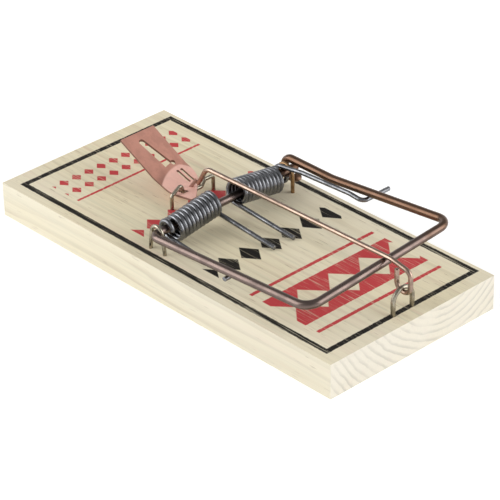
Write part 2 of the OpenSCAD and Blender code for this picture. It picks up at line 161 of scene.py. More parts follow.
class TRAP_PG_finish(bpy.types.PropertyGroup):
    """Colours of the finishes"""

    pine: bpy.props.FloatVectorProperty(
        name="Pine", description="Early wood of the board", subtype="COLOR", size=3,
        default=(0.84, 0.75, 0.53), min=0, max=1,
    )
    pine_ring: bpy.props.FloatVectorProperty(
        name="Pine ring", description="Late wood of the board", subtype="COLOR", size=3,
        default=(0.56, 0.46, 0.29), min=0, max=1,
    )
    pine_cut: bpy.props.FloatVectorProperty(
        name="Cut pine", description="Paler wood of the sawn sides", subtype="COLOR", size=3,
        default=(0.90, 0.87, 0.76), min=0, max=1,
    )
    black_ink: bpy.props.FloatVectorProperty(
        name="Black ink", description="Printed border", subtype="COLOR", size=3,
        default=(0.008, 0.006, 0.004), min=0, max=1,
    )
    red_ink: bpy.props.FloatVectorProperty(
        name="Red ink", description="Printed pattern", subtype="COLOR", size=3,
        default=(0.56, 0.055, 0.06), min=0, max=1,
    )
    hammer: bpy.props.FloatVectorProperty(
        name="Hammer", description="Copper wash of the hammer", subtype="COLOR", size=3,
        default=(0.185, 0.138, 0.122), min=0, max=1,
    )
    hammer_far: bpy.props.FloatVectorProperty(
        name="Hammer's far arm", description="Brown wash left on the far arm", subtype="COLOR", size=3,
        default=(0.15, 0.085, 0.054), min=0, max=1,
    )
    spring: bpy.props.FloatVectorProperty(
        name="Springs", description="Dark oiled steel of the springs", subtype="COLOR", size=3,
        default=(0.24, 0.245, 0.26), min=0, max=1,
    )
    lock_bar: bpy.props.FloatVectorProperty(
        name="Lock bar", description="Pale copper wash of the lock bar", subtype="COLOR", size=3,
        default=(0.42, 0.305, 0.24), min=0, max=1,
    )
    staple: bpy.props.FloatVectorProperty(
        name="Staples", description="Yellowish plating of the staples", subtype="COLOR", size=3,
        default=(0.42, 0.38, 0.30), min=0, max=1,
    )
    brown_staple: bpy.props.FloatVectorProperty(
        name="Far staple", description="Brown wash of the far pivot staple", subtype="COLOR", size=3,
        default=(0.40, 0.25, 0.13), min=0, max=1,
    )
    # Painted light: the pad's lobe takes this paler copy of the copper as its lit tone, and fine paler
    # flecks all over the sheet use it too
    sheet: bpy.props.FloatVectorProperty(
        name="Pad", description="Lit copper wash of the pedal's pad", subtype="COLOR", size=3,
        default=(0.98, 0.58, 0.48), min=0, max=1,
    )
    bait_plate: bpy.props.FloatVectorProperty(
        name="Bait plate", description="Duskier copper wash of the bait plate", subtype="COLOR", size=3,
        default=(0.63, 0.30, 0.225), min=0, max=1,
    )
    sheet_edge: bpy.props.FloatVectorProperty(
        name="Sheet edge", description="Dark cut edges of the pedal's sheet", subtype="COLOR", size=3,
        default=(0.16, 0.075, 0.05), min=0, max=1,
    )


class TRAP_PG_stage(bpy.types.PropertyGroup):
    """Camera, floor and lamps"""

    azimuth: bpy.props.FloatProperty(
        name="Azimuth", description="Camera's place round the board", default=math.radians(47.37),
        subtype="ANGLE",
    )
    elevation: bpy.props.FloatProperty(
        name="Elevation", description="Camera's angle over the level", default=math.radians(31.10),
        subtype="ANGLE",
    )
    roll: bpy.props.FloatProperty(
        name="Roll", description="Camera's turn about its own line of sight", default=math.radians(-1.24),
        subtype="ANGLE",
    )
    distance: bpy.props.FloatProperty(
        name="Distance", description="Camera's distance from its target in millimetres", default=1016.36
    )
    target: bpy.props.FloatVectorProperty(
        name="Target", description="Point that the camera looks at in millimetres", size=3,
        default=(5.53, -0.64, 7.1),
    )
    lens: bpy.props.FloatProperty(
        name="Lens", description="Focal length in millimetres on a 36 mm sensor", default=197.89
    )
    low_sky: bpy.props.FloatProperty(
        name="Low sky", description="Strength of the sky at the level", default=1.0
    )
    high_sky: bpy.props.FloatProperty(
        name="High sky", description="Strength of the sky overhead", default=0.36
    )
    right_strength: bpy.props.FloatProperty(
        name="Right lamp", description="Power of the large lamp past the lock bar's end in watts",
        default=11.0,
    )
    left_strength: bpy.props.FloatProperty(
        name="Left lamp", description="Power of the large lamp before the pedal's end in watts",
        default=11.0,
    )


# ---------------------------------------------------------------- shader helpers


class Nodes:
    """A material's node tree, with short ways to add what the finishes need"""

    def __init__(self, name, **constants):
        self.material = bpy.data.materials.new(name)
        self.material.use_nodes = True
        self.tree = self.material.node_tree
        self.shader = self.tree.nodes["Principled BSDF"]
        for socket, value in constants.items():
            self.shader.inputs[socket.replace("_", " ")].default_value = value
        coordinates = self.tree.nodes.new("ShaderNodeTexCoord")
        self.place = coordinates.outputs["Object"]
        self.normal = coordinates.outputs["Normal"]

    def add(self, kind, inputs=(), **settings):
        """A new node with its inputs and settings"""
        node = self.tree.nodes.new("ShaderNode" + kind)
        for key, value in settings.items():
            setattr(node, key, value)
        for key, value in dict(inputs).items():
            self.put(node.inputs[key], value)
        return node

    def put(self, socket, value):
        """Links a socket to another one, or gives it a value"""
        if isinstance(value, bpy.types.NodeSocket):
            self.tree.links.new(value, socket)
        else:
            socket.default_value = value

    def math(self, operation, a, b=0.0):
        """One step of arithmetic"""
        node = self.add("Math", operation=operation)
        for socket, value in zip(node.inputs, (a, b)):
            self.put(socket, value)
        return node.outputs[0]

    def split(self, vector):
        """X, Y and Z of a vector"""
        return self.add("SeparateXYZ", {"Vector": vector}).outputs

    def scaled(self, scale=(1, 1, 1)):
        """Object coordinates in millimetres, times a scale along each axis"""
        node = self.add("Mapping", {"Vector": self.place})
        node.inputs["Scale"].default_value = [s / MM for s in scale]
        return node.outputs[0]

    def noise(self, scale, detail=3.0, roughness=0.55):
        """Noise whose grains are 1 / scale millimetres along each axis"""
        inputs = {"Vector": self.scaled(scale), "Scale": 1.0, "Detail": detail, "Roughness": roughness}
        return self.add("TexNoise", inputs).outputs["Fac"]

    def ramp(self, value, low, high, low_to=0.0, high_to=1.0):
        """Smooth step from low_to to high_to while a value goes from low to high"""
        ends = {"From Min": low, "From Max": high, "To Min": low_to, "To Max": high_to}
        node = self.add("MapRange", {"Value": value, **ends}, interpolation_type="SMOOTHSTEP")
        return node.outputs["Result"]

    def mix(self, share, a, b):
        """Colour a with a share of colour b"""
        node = self.add("Mix", data_type="RGBA")
        self.put(node.inputs["Factor"], share)
        for socket, value in zip((node.inputs[6], node.inputs[7]), (a, b)):
            self.put(socket, value if isinstance(value, bpy.types.NodeSocket) else (*value, 1.0))
        return node.outputs[2]

    def bump(self, height, strength, distance):
        """Fine relief, with its depth in millimetres"""
        node = self.add("Bump", {"Height": height, "Strength": strength, "Distance": distance * MM})
        self.tree.links.new(node.outputs[0], self.shader.inputs["Normal"])

    def paint(self, socket, value):
        """Links a value to one of the shader's sockets"""
        self.tree.links.new(value, self.shader.inputs[socket])


# ---------------------------------------------------------------- finishes


def shade(colour, share):
    """A darker or, over 1, a lighter tone of a colour"""
    return tuple(c * share for c in colour)


def year_rings(m, place, side, end):
    """Late wood of the rings about the tree's heart, which lies above the board and runs along it"""
    heart_y, heart_z, ring_width = 18.0, 40.0, 2.9
    sway = m.math("MULTIPLY", m.math("SUBTRACT", m.noise((0.006, 0.02, 0.02), 2.0), 0.5), 9.0)
    across = m.math("ADD", m.math("SUBTRACT", place["Y"], heart_y), sway)
    up = m.math("ADD", m.math("SUBTRACT", heart_z, place["Z"]), m.math("MULTIPLY", sway, 0.5))
    radius = m.math("SQRT", m.math("ADD", m.math("POWER", across, 2.0), m.math("POWER", up, 2.0)))
    wobble = m.math("MULTIPLY", m.noise((0.01, 0.16, 0.16), 3.0), m.ramp(end, 0.0, 1.0, 4.0, 1.8))
    ring = m.math("FRACT", m.math("DIVIDE", m.math("ADD", radius, wobble), ring_width))
    late = m.math("MULTIPLY", m.ramp(ring, 0.45, 0.9), m.ramp(ring, 1.0, 0.93))
    late = m.math("MULTIPLY", late, m.ramp(m.noise((0.012, 0.08, 0.08), 2.0), 0.3, 0.7, 0.1, 0.75))
    return m.math("MULTIPLY", late, m.math("ADD", m.math("MULTIPLY", side, 0.5), 0.7))


def board_print(m, place, wobble):
    """Shares of black and red ink of a plain pattern, whose places and sizes are in millimetres"""
    x, y, z = place
    soft, top_skin, print_y = 0.12, 0.02, 1.15
    end_margin, side_margin, border_half = 7.0, 3.95, 1.15
    panel_x, rule_off, pattern_half_width = 54.0, 17.0, 31.0
    ax, ay = m.math("ABSOLUTE", x), m.math("ABSOLUTE", m.math("SUBTRACT", y, print_y))

    def band(centre, half):
        """1 between two places along the board, with slightly soft edges"""
        off = m.math("ABSOLUTE", m.math("SUBTRACT", m.math("ADD", x, wobble), centre))
        return m.ramp(off, half + soft, half - soft)

    def diamonds(centre, half_x, half_y, pitch):
        """A row of diamonds across the board"""
        step = m.math("DIVIDE", m.math("ADD", y, pitch / 2), pitch)
        off_y = m.math("ABSOLUTE", m.math("SUBTRACT", m.math("FRACT", step), 0.5))
        off_y = m.math("MULTIPLY", off_y, pitch / half_y)
        off_x = m.math("ABSOLUTE", m.math("DIVIDE", m.math("SUBTRACT", x, centre), half_x))
        return m.ramp(m.math("ADD", off_x, off_y), 1.04, 0.96)

    # Ink stands on the top face only
    top = m.math("GREATER_THAN", z, BOARD_TOP - top_skin)
    outside = m.math(
        "MAXIMUM",
        m.math("SUBTRACT", ax, BOARD_HALF_LENGTH - end_margin),
        m.math("SUBTRACT", ay, BOARD_HALF_WIDTH - side_margin),
    )
    border = m.math("SUBTRACT", m.math("ABSOLUTE", m.math("ADD", outside, wobble)), border_half)
    border = m.math("MULTIPLY", m.ramp(border, soft, -soft), top)
    inside = m.ramp(ay, pattern_half_width + 0.1, pattern_half_width - 0.1)
    row = diamonds(16.0, half_x=6.0, half_y=4.3, pitch=10.3)
    row = m.math("MULTIPLY", m.math("MULTIPLY", row, inside), top)

    holes = diamonds(panel_x, half_x=8.0, half_y=7.0, pitch=15.5)
    red = m.math("MAXIMUM", m.math("SUBTRACT", band(panel_x, half=11.0), holes), 0.0)
    for shape in (
        band(panel_x - rule_off, half=0.8),
        band(panel_x + rule_off, half=0.8),
        band(-58.0, half=0.6),
        diamonds(-64.5, half_x=2.6, half_y=2.2, pitch=6.2),
        diamonds(-72.0, half_x=2.6, half_y=2.2, pitch=6.2),
        diamonds(-24.0, half_x=5.0, half_y=4.4, pitch=10.3),
    ):
        red = m.math("ADD", red, shape)
    red = m.math("MULTIPLY", m.math("MULTIPLY", m.math("MINIMUM", red, 1.0), inside), top)
    return m.math("MAXIMUM", border, row), red


def pine_finish(finish):
    """Bare pine with year rings about the tree's heart, fibres and a plain printed pattern on top"""
    m = Nodes("pine", Specular_IOR_Level=0.25)
    place, facing = m.split(m.scaled()), m.split(m.normal)

    # 1 on the sawn sides and ends, and 1 on the ends alone
    side = m.ramp(m.math("ABSOLUTE", facing["Z"]), 0.6, 0.4)
    end = m.ramp(m.math("ABSOLUTE", facing["X"]), 0.4, 0.6)
    late = year_rings(m, place, side, end)

    # Fibres run along the board; the cut ends show them as fine pores
    greenish, pinkish, clear = (0.58, 0.55, 0.38), (0.76, 0.56, 0.42), (0.86, 0.80, 0.66)
    fleck_brown = (0.30, 0.20, 0.10)
    fibre = m.noise((0.05, 2.6, 2.6), 4.0, 0.65)
    streak = m.noise((0.012, 0.5, 0.5), 3.0, 0.6)
    wide_streak = m.noise((0.008, 0.22, 0.22), 3.0, 0.6)
    cloud = m.noise((0.01, 0.03, 0.05), 2.0)
    wood = m.mix(late, finish.pine, finish.pine_ring)
    wood = m.mix(m.ramp(fibre, 0.5, 0.78, 0.0, 0.30), wood, shade(finish.pine_ring, 0.72))
    wood = m.mix(m.ramp(streak, 0.50, 0.72, 0.0, 0.45), wood, greenish)
    wood = m.mix(m.ramp(wide_streak, 0.54, 0.72, 0.0, 0.4), wood, pinkish)
    wood = m.mix(m.ramp(cloud, 0.35, 0.7, 0.0, 0.45), wood, clear)
    fleck = m.math("MULTIPLY", m.ramp(m.noise((0.12, 2.2, 2.2), 1.0), 0.70, 0.76), 0.55)
    wood = m.mix(fleck, wood, fleck_brown)
    wood = m.mix(m.math("MULTIPLY", side, 0.35), wood, finish.pine_cut)

    # The sawn ends show the year rings as clear greyish arcs
    end_pale, end_ring = (0.84, 0.80, 0.75), (0.52, 0.50, 0.42)
    wood = m.mix(m.math("MULTIPLY", end, 0.4), wood, end_pale)
    wood = m.mix(m.math("MULTIPLY", m.math("MULTIPLY", end, late), 0.5), wood, end_ring)

    # Ink thins out where the fibres are open
    ink = m.ramp(m.math("ADD", fibre, m.math("MULTIPLY", streak, 0.5)), 0.98, 0.80, 0.25, 1.0)
    wobble = m.math("MULTIPLY", m.math("SUBTRACT", m.noise((0.9, 0.9, 0.9), 2.0), 0.5), 0.5)
    black, red = board_print(m, place, wobble)
    wood = m.mix(m.math("MULTIPLY", red, ink), wood, finish.red_ink)
    wood = m.mix(m.math("MULTIPLY", black, ink), wood, finish.black_ink)

    m.paint("Base Color", wood)
    m.paint("Roughness", m.ramp(fibre, 0.2, 0.8, 0.55, 0.75))
    m.bump(m.math("ADD", fibre, m.math("MULTIPLY", late, 0.8)), 0.35, 0.12)
    return m.material


def roughen(m, cloud, fine, low, high):
    """Roughness between two values that follows tarnish and grain"""
    grain = m.math("ADD", cloud, m.math("MULTIPLY", fine, 0.35))
    m.paint("Roughness", m.ramp(grain, 0.4, 0.95, low, high))


def metal_finish(name, colour, rough, tarnish, drawn=(0.35, 0.35, 0.35), wear=0.5, far=None):
    """Drawn metal with cloudy tarnish and worn paler spots, in another colour at the far side if given"""
    m = Nodes(name, Metallic=1.0)
    cloud = m.noise(drawn, 3.0, 0.6)
    fine = m.noise((3.2, 3.2, 3.2), 3.0, 0.7)
    base = m.mix(m.ramp(cloud, 0.38, 0.68), colour, tarnish)
    if far:
        y = m.split(m.scaled())["Y"]
        base = m.mix(m.ramp(m.math("ADD", y, m.math("MULTIPLY", cloud, 20.0)), 22.0, 48.0), base, far)
    base = m.mix(m.ramp(fine, 0.60, 0.78, 0.0, wear), base, shade(colour, 1.45))
    base = m.mix(m.ramp(fine, 0.42, 0.26, 0.0, wear), base, shade(tarnish, 0.55))
    m.paint("Base Color", base)
    roughen(m, cloud, fine, rough - 0.07, rough + 0.13)
    m.bump(fine, 0.18, 0.05)
    return m.material


def sheet_finish(finish):
    """Copper-washed sheet: dusky bait plate, pad in a painted lit tone that ends in a lobe, painted shade
    along the lobe's edge, dark cut edges
    """
    m = Nodes("pedal_sheet", Metallic=0.2)
    x, y, _ = m.split(m.scaled())
    upright = m.split(m.normal)["Z"]
    cloud = m.noise((0.22, 0.3, 0.3), 3.0, 0.6)
    fine = m.noise((2.2, 2.2, 2.2), 3.0, 0.7)

    # The lobe's edge is half a flat parabola on the near side and half a steep one on the far side
    lobe_x, lobe_y, near_curve, far_curve = HINGE_X - 13.1, LOCK_Y + 4.5, 0.0323, 0.25
    off = m.math("SUBTRACT", y, lobe_y)
    near = m.math("MULTIPLY", m.math("POWER", m.math("MINIMUM", off, 0.0), 2.0), near_curve)
    far = m.math("MULTIPLY", m.math("POWER", m.math("MAXIMUM", off, 0.0), 2.0), far_curve)
    lobe = m.math("SUBTRACT", m.math("SUBTRACT", x, lobe_x), m.math("ADD", near, far))
    base = m.mix(m.ramp(cloud, 0.35, 0.7), finish.bait_plate, shade(finish.bait_plate, 0.84))
    # Painted shade: the bait plate darkens beside the lobe's edge, most towards the near side, as shade in
    # the crease
    painted_crease_shade = m.math("MULTIPLY", m.ramp(lobe, -4.5, -0.3), m.ramp(y, LOCK_Y + 2.0, LOCK_Y - 7.0, 0.0, 0.75))
    base = m.mix(painted_crease_shade, base, shade(finish.bait_plate, 0.5))
    # Painted light: inside the lobe the pad takes the paler, lit copy of the copper, with a cloudy tone
    painted_lit_pad = m.mix(m.ramp(cloud, 0.35, 0.7), finish.sheet, shade(finish.sheet, 0.9))
    base = m.mix(m.ramp(lobe, -0.5, 0.4), base, painted_lit_pad)
    base = m.mix(m.ramp(fine, 0.58, 0.78, 0.0, 0.3), base, shade(finish.sheet, 0.96))
    base = m.mix(m.ramp(m.math("ABSOLUTE", upright), 0.75, 0.35, 0.0, 0.85), base, finish.sheet_edge)
    m.paint("Base Color", base)
    roughen(m, cloud, fine, 0.36, 0.54)
    m.bump(fine, 0.15, 0.05)
    return m.material


def dress(node, material):
    """Gives a CAD node a finish"""
    mesh = frame["nodes"][node].data
    mesh.materials.clear()
    mesh.materials.append(material)


# ---------------------------------------------------------------- wire


def begin_wire(place, along, thick, sides):
    """A ring of points square to the wire's direction, ready in edit mode"""
    bpy.ops.object.select_all(action="DESELECT")
    bpy.ops.mesh.primitive_circle_add(
        vertices=sides,
        radius=thick / 2 * MM,
        fill_type="NOTHING",
        location=Vector(place) * MM,
        rotation=Vector(along).to_track_quat("Z", "Y").to_euler(),
    )
    bpy.ops.object.transform_apply(location=True, rotation=True, scale=True)
    bpy.ops.object.mode_set(mode="EDIT")
    bpy.ops.mesh.select_all(action="SELECT")


def go_on(offset):
    """Draws the wire straight on"""
    bpy.ops.mesh.extrude_region_move(TRANSFORM_OT_translate={"value": Vector(offset) * MM})


def bend_on(centre, axis, angle):
    """Draws the wire round a centre"""
    steps = max(2, math.ceil(abs(angle) / BEND_STEP))
    bpy.ops.mesh.spin(steps=steps, angle=-angle, center=Vector(centre) * MM, axis=axis)


def along_path(path, radii):
    """Draws the wire along a path with rounded corners"""
    path = [Vector(p) for p in path]
    here = path[0]
    for i in range(1, len(path)):
        along = (path[i] - path[i - 1]).normalized()
        if i == len(path) - 1:
            go_on(path[i] - here)
            return
        after = (path[i + 1] - path[i]).normalized()
        angle = along.angle(after)
        taken = radii[i] * math.tan(angle / 2)
        start = path[i] - along * taken
        go_on(start - here)
        axis = along.cross(after).normalized()
        bend_on(start + axis.cross(along) * radii[i], axis, angle)
        here = path[i] + after * taken


def close_ends():
    """Closes what was drawn into one solid"""
    bpy.ops.mesh.select_all(action="SELECT")
    bpy.ops.mesh.remove_doubles(threshold=1e-6)
    bpy.ops.mesh.fill_holes(sides=0)
    bpy.ops.mesh.select_all(action="SELECT")
    bpy.ops.mesh.normals_make_consistent(inside=False)
    bpy.ops.object.mode_set(mode="OBJECT")
    return bpy.context.object


def hand_over(piece, name, body, node, material, rim):
    """Rounds a piece's rims and puts it in the place of its CAD node"""
    piece.name = name
    bevel = piece.modifiers.new("rim", "BEVEL")
    bevel.width = rim * MM
    bevel.segments = 2
    bevel.limit_method = "ANGLE"
    bevel.angle_limit = math.radians(55)
    bpy.ops.object.modifier_apply(modifier=bevel.name)
    bpy.ops.object.shade_smooth_by_angle(angle=math.radians(50))
    piece.data.materials.append(material)
    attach(piece, body)
    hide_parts(node)


def end_wire(name, body, node, material, rim):
    """Closes a wire and hands it over"""
    hand_over(close_ends(), name, body, node, material, rim)


# ---------------------------------------------------------------- sheet


def begin_strip(place, along, thick, width):
    """A hollow rectangle square to a strip's direction in XZ, ready in edit mode"""
    bpy.ops.object.select_all(action="DESELECT")
    bpy.ops.mesh.primitive_plane_add(size=MM, location=Vector(place) * MM)
    strip = bpy.context.object
    strip.scale = (thick, width, 1)
    strip.rotation_euler.y = math.atan2(along[0], along[2])
    bpy.ops.object.transform_apply(location=True, rotation=True, scale=True)
    bpy.ops.object.mode_set(mode="EDIT")
    bpy.ops.mesh.select_all(action="SELECT")
    bpy.ops.mesh.delete(type="ONLY_FACE")
    bpy.ops.mesh.select_all(action="SELECT")


def begin_fence(place, height):
    """An upright edge, ready in edit mode"""
    bpy.ops.object.select_all(action="DESELECT")
    bpy.ops.mesh.primitive_plane_add(
        size=height * MM, location=Vector(place) * MM, rotation=(math.pi / 2, 0, 0)
    )
    bpy.ops.object.transform_apply(location=True, rotation=True, scale=True)
    fence = bpy.context.object.data
    bpy.ops.object.mode_set(mode="EDIT")
    bpy.ops.mesh.select_all(action="DESELECT")
    bpy.ops.object.mode_set(mode="OBJECT")
    for v in fence.vertices:
        v.select = v.co.x > place[0] * MM
    bpy.ops.object.mode_set(mode="EDIT")
    bpy.ops.mesh.delete(type="VERT")
    bpy.ops.mesh.select_all(action="SELECT")
    bpy.ops.transform.translate(value=(height / 2 * MM, 0, 0))


def slot_cutter(centre, length, round_end, square_end, turn=0.0):
    """An upright cutter with a round end towards the bait and a square one towards the rod"""
    middle = (round_end - length) / 2
    bpy.ops.object.select_all(action="DESELECT")
    bpy.ops.mesh.primitive_cylinder_add(
        vertices=32, radius=round_end / 2 * MM, depth=CUTTER_HEIGHT * MM, location=(middle * MM, 0, 0)
    )
    bpy.ops.object.transform_apply(location=True)
    cutter = bpy.context.object
    bpy.ops.object.mode_set(mode="EDIT")
    bpy.ops.mesh.select_all(action="DESELECT")
    bpy.ops.object.mode_set(mode="OBJECT")
    for v in cutter.data.vertices:
        v.select = v.co.x > (middle + 0.01) * MM
    bpy.ops.object.mode_set(mode="EDIT")
    bpy.ops.transform.resize(
        value=(0, square_end / round_end, 1), center_override=(length / 2 * MM, 0, 0)
    )
    bpy.ops.object.mode_set(mode="OBJECT")
    cutter.location = Vector((*centre, CUTTER_Z)) * MM
    cutter.rotation_euler.z = turn
    return cutter


def cut(piece, tool, operation="DIFFERENCE"):
    """Cuts a piece with a tool, or joins the tool to it, and puts the tool away"""
    change = piece.modifiers.new("cut", "BOOLEAN")
    change.operation, change.solver, change.object = operation, "EXACT", tool
    bpy.ops.object.select_all(action="DESELECT")
    piece.select_set(True)
    bpy.context.view_layer.objects.active = piece
    bpy.ops.object.modifier_apply(modifier=change.name)
    bpy.data.objects.remove(tool)


# ---------------------------------------------------------------- operators


class TRAP_OT_board(bpy.types.Operator):
    """Finishes the pine board with its rings, fibres and plain printed pattern"""

    bl_idname = "trap.board"
    bl_label = "Board"

    def execute(self, context):
        dress("base", pine_finish(context.scene.trap_finish))
        return {"FINISHED"}


class TRAP_OT_hammer(bpy.types.Operator):
    """Bends the hammer from one wire: rod, near arm, crossbar, far arm and eye"""

    bl_idname = "trap.hammer"
    bl_label = "Hammer"

    def execute(self, context):
        wires, finish = context.scene.trap_wires, context.scene.trap_finish
        rod_past_eye, eye_wrap = 2.0, math.radians(235)
        rod_bend, corner_bend, kink_bend = 3.6, 5.5, 20.0
        rod_end = (ROD_X, FAR_ARM_Y + rod_past_eye, ROD_Z)
        path = [
            rod_end,
            (ROD_X, NEAR_ARM_Y, ROD_Z),
            (FRONT_X, NEAR_ARM_Y, NEAR_CORNER_Z),
            (FRONT_X, FAR_ARM_Y, FAR_CORNER_Z),
            (ROD_X + KINK_REACH, FAR_ARM_Y, EYE_TOP_Z),
            (ROD_X, FAR_ARM_Y, EYE_TOP_Z),
        ]
        begin_wire(rod_end, (0, -1, 0), wires.hammer_thick, wires.sides)
        along_path(path, [0, rod_bend, corner_bend, corner_bend, kink_bend, 0])
        bend_on((ROD_X, FAR_ARM_Y, ROD_Z), (0, -1, 0), eye_wrap)
        material = metal_finish(
            "hammer_wire", finish.hammer, rough=0.30, tarnish=shade(finish.hammer, 0.75),
            drawn=(0.12, 0.12, 0.12), wear=0.35, far=finish.hammer_far,
        )
        end_wire("hammer_wire", "hammer", "hammer", material, rim=0.25)
        return {"FINISHED"}


class TRAP_OT_springs(bpy.types.Operator):
    """Winds the two coil springs with their fixed legs, and bends the active legs"""

    bl_idname = "trap.springs"
    bl_label = "Springs"

    def execute(self, context):
        wires, finish = context.scene.trap_wires, context.scene.trap_finish
        self.steel = metal_finish(
            "spring_wire", finish.spring, rough=0.27, tarnish=shade(finish.spring, 0.6),
            drawn=(0.3, 0.3, 0.3),
        )
        self.coil(wires, "near_spring", side=-1, inner=-4.3)
        self.coil(wires, "far_spring", side=1, inner=5.5)

        # The legs run beside the hammer's arms, and their hooks lie under them
        leg_reach, arm_gap, leg_bend, hook_bend = 40.5, 0.4, 12.0, 2.5
        beside = HAMMER_WIRE_RADIUS + SPRING_WIRE_RADIUS + arm_gap
        under = HAMMER_WIRE_RADIUS + SPRING_WIRE_RADIUS + REST_GAP
        x = ROD_X + leg_reach

        turn_y, y = -28.25, NEAR_ARM_Y + beside
        z = ROD_Z + (NEAR_CORNER_Z - ROD_Z) * leg_reach / HAMMER_REACH - under
        path = [(x - 18.6, y + 0.4, z - 0.8), (x, y, z), (x, y - 4.55, z)]
        self.arm(wires, "near_spring_arm", turn_y, -1, path, [0, leg_bend, hook_bend, 0])

        turn_y, y = 29.45, FAR_ARM_Y - beside
        share = (leg_reach - KINK_REACH) / (HAMMER_REACH - KINK_REACH)
        z = EYE_TOP_Z + (FAR_CORNER_Z - EYE_TOP_Z) * share - under
        foot = (ROD_X + 10.9, turn_y + 0.7, ROD_Z + RIDER_RADIUS + 1.1)
        path = [foot, (x - 6.6, y - 0.4, z + 0.9), (x, y, z), (x, y + 13.65, z)]
        self.arm(wires, "far_spring_arm", turn_y, 1, path, [0, leg_bend, leg_bend, hook_bend, 0])
        return {"FINISHED"}

    def coil(self, wires, name, side, inner):
        """A coil whose first turn goes on into the leg that lies on the board"""
        radius, length = wires.coil_radius, wires.coil_length
        half_room, leg_reach, leg_drift = 10.95, 29.7, 1.8
        middle = inner + side * half_room
        start = (ROD_X, middle - side * length / 2, ROD_Z - radius)
        begin_wire(start, (-1, 0, 0), wires.spring_thick, THIN_SIDES)
        bpy.ops.object.mode_set(mode="OBJECT")
        context = bpy.context
        context.scene.cursor.location = Vector((ROD_X, middle, ROD_Z)) * MM
        bpy.ops.object.origin_set(type="ORIGIN_CURSOR")
        coil = context.object
        screw = coil.modifiers.new("turns", "SCREW")
        screw.axis = "Y"
        screw.angle = 2 * math.pi * wires.coil_turns
        screw.screw_offset = side * length * MM
        screw.steps = screw.render_steps = int(TURN_STEPS * wires.coil_turns)
        screw.use_smooth_shade = True
        bpy.ops.object.modifier_apply(modifier=screw.name)
        coil.rotation_euler.x = -side * wires.coil_tilt
        bpy.ops.object.transform_apply(location=True, rotation=True, scale=True)
        # The leg goes on from the end that is nearest the middle of the board, under the coil
        bpy.ops.object.mode_set(mode="EDIT")
        bpy.ops.mesh.select_all(action="DESELECT")
        bpy.ops.object.mode_set(mode="OBJECT")
        first = coil.data.vertices[:THIN_SIDES]
        centre = sum((v.co for v in first), Vector()) / len(first)
        for v in first:
            v.select = True
        bpy.ops.object.mode_set(mode="EDIT")
        leg_z = BOARD_TOP + SPRING_WIRE_RADIUS + REST_GAP
        end = Vector((ROD_X + leg_reach, inner + leg_drift, leg_z))
        go_on(end - centre / MM)
        end_wire(name + "_wire", "board", name, self.steel, rim=0.1)

    def arm(self, wires, name, y, side, path, radii):
        """The last turn round the rod, and the leg that leaves it at its top (1) or at its foot (-1)"""
        begin_wire((ROD_X + RIDER_RADIUS, y, ROD_Z), (0, 0, -side), wires.spring_thick, THIN_SIDES)
        bend_on((ROD_X, y, ROD_Z), (0, side, 0), math.radians(270))
        along_path([(ROD_X, y, ROD_Z + side * RIDER_RADIUS), *path], radii)
        end_wire(name + "_wire", "hammer", name, self.steel, rim=0.1)


class TRAP_OT_lock_bar(bpy.types.Operator):
    """Bends the lock bar with its hooked tip and the eye round its staple"""

    bl_idname = "trap.lock_bar"
    bl_label = "Lock bar"

    def execute(self, context):
        wires, finish = context.scene.trap_wires, context.scene.trap_finish
        thick = wires.lock_thick
        eye_radius, bar_slope, strand_gap = 3.35, 0.0195, 1.0
        hook_back, tip_back, tip_drop, hook_bend = 10.7, 4.9, 8.33, 4.5
        shoulder_back, shoulder_drop, shoulder_bend, front_bend = 6.1, 1.8, 10.0, 3.0
        eye_z = LOCK_STAPLE_Z + eye_radius - thick / 2 - LOCK_STAPLE_RADIUS - RUN_GAP
        share = (LOCK_Y - NEAR_ARM_Y) / (FAR_ARM_Y - NEAR_ARM_Y)
        crossbar_z = NEAR_CORNER_Z + (FAR_CORNER_Z - NEAR_CORNER_Z) * share
        seat_z = crossbar_z + HAMMER_WIRE_RADIUS + thick / 2 + REST_GAP

        def bar(x):
            """A point of the long bar, which rests on the crossbar"""
            return (x, LOCK_Y, seat_z + bar_slope * (x - FRONT_X))

        hook, shoulder = bar(ROD_X - hook_back), bar(LOCK_STAPLE_X - shoulder_back)
        tip = (hook[0] - tip_back, LOCK_Y, hook[2] - tip_drop)
        front = (LOCK_STAPLE_X + eye_radius, LOCK_Y, shoulder[2] - shoulder_drop)
        path = [tip, hook, shoulder, front, (front[0], LOCK_Y, eye_z)]
        begin_wire(tip, Vector(hook) - Vector(tip), thick, wires.sides)
        along_path(path, [0, hook_bend, shoulder_bend, front_bend, 0])
        bend_on((LOCK_STAPLE_X, LOCK_Y, eye_z), (0, 1, 0), math.pi)
        go_on((0, 0, shoulder[2] - thick - strand_gap - eye_z))
        material = metal_finish(
            "lock_bar_wire", finish.lock_bar, rough=0.28, tarnish=shade(finish.lock_bar, 0.7),
            drawn=(0.15, 0.4, 0.4),
        )
        end_wire("lock_bar_wire", "lock_bar", "lock_bar", material, rim=0.15)
        return {"FINISHED"}


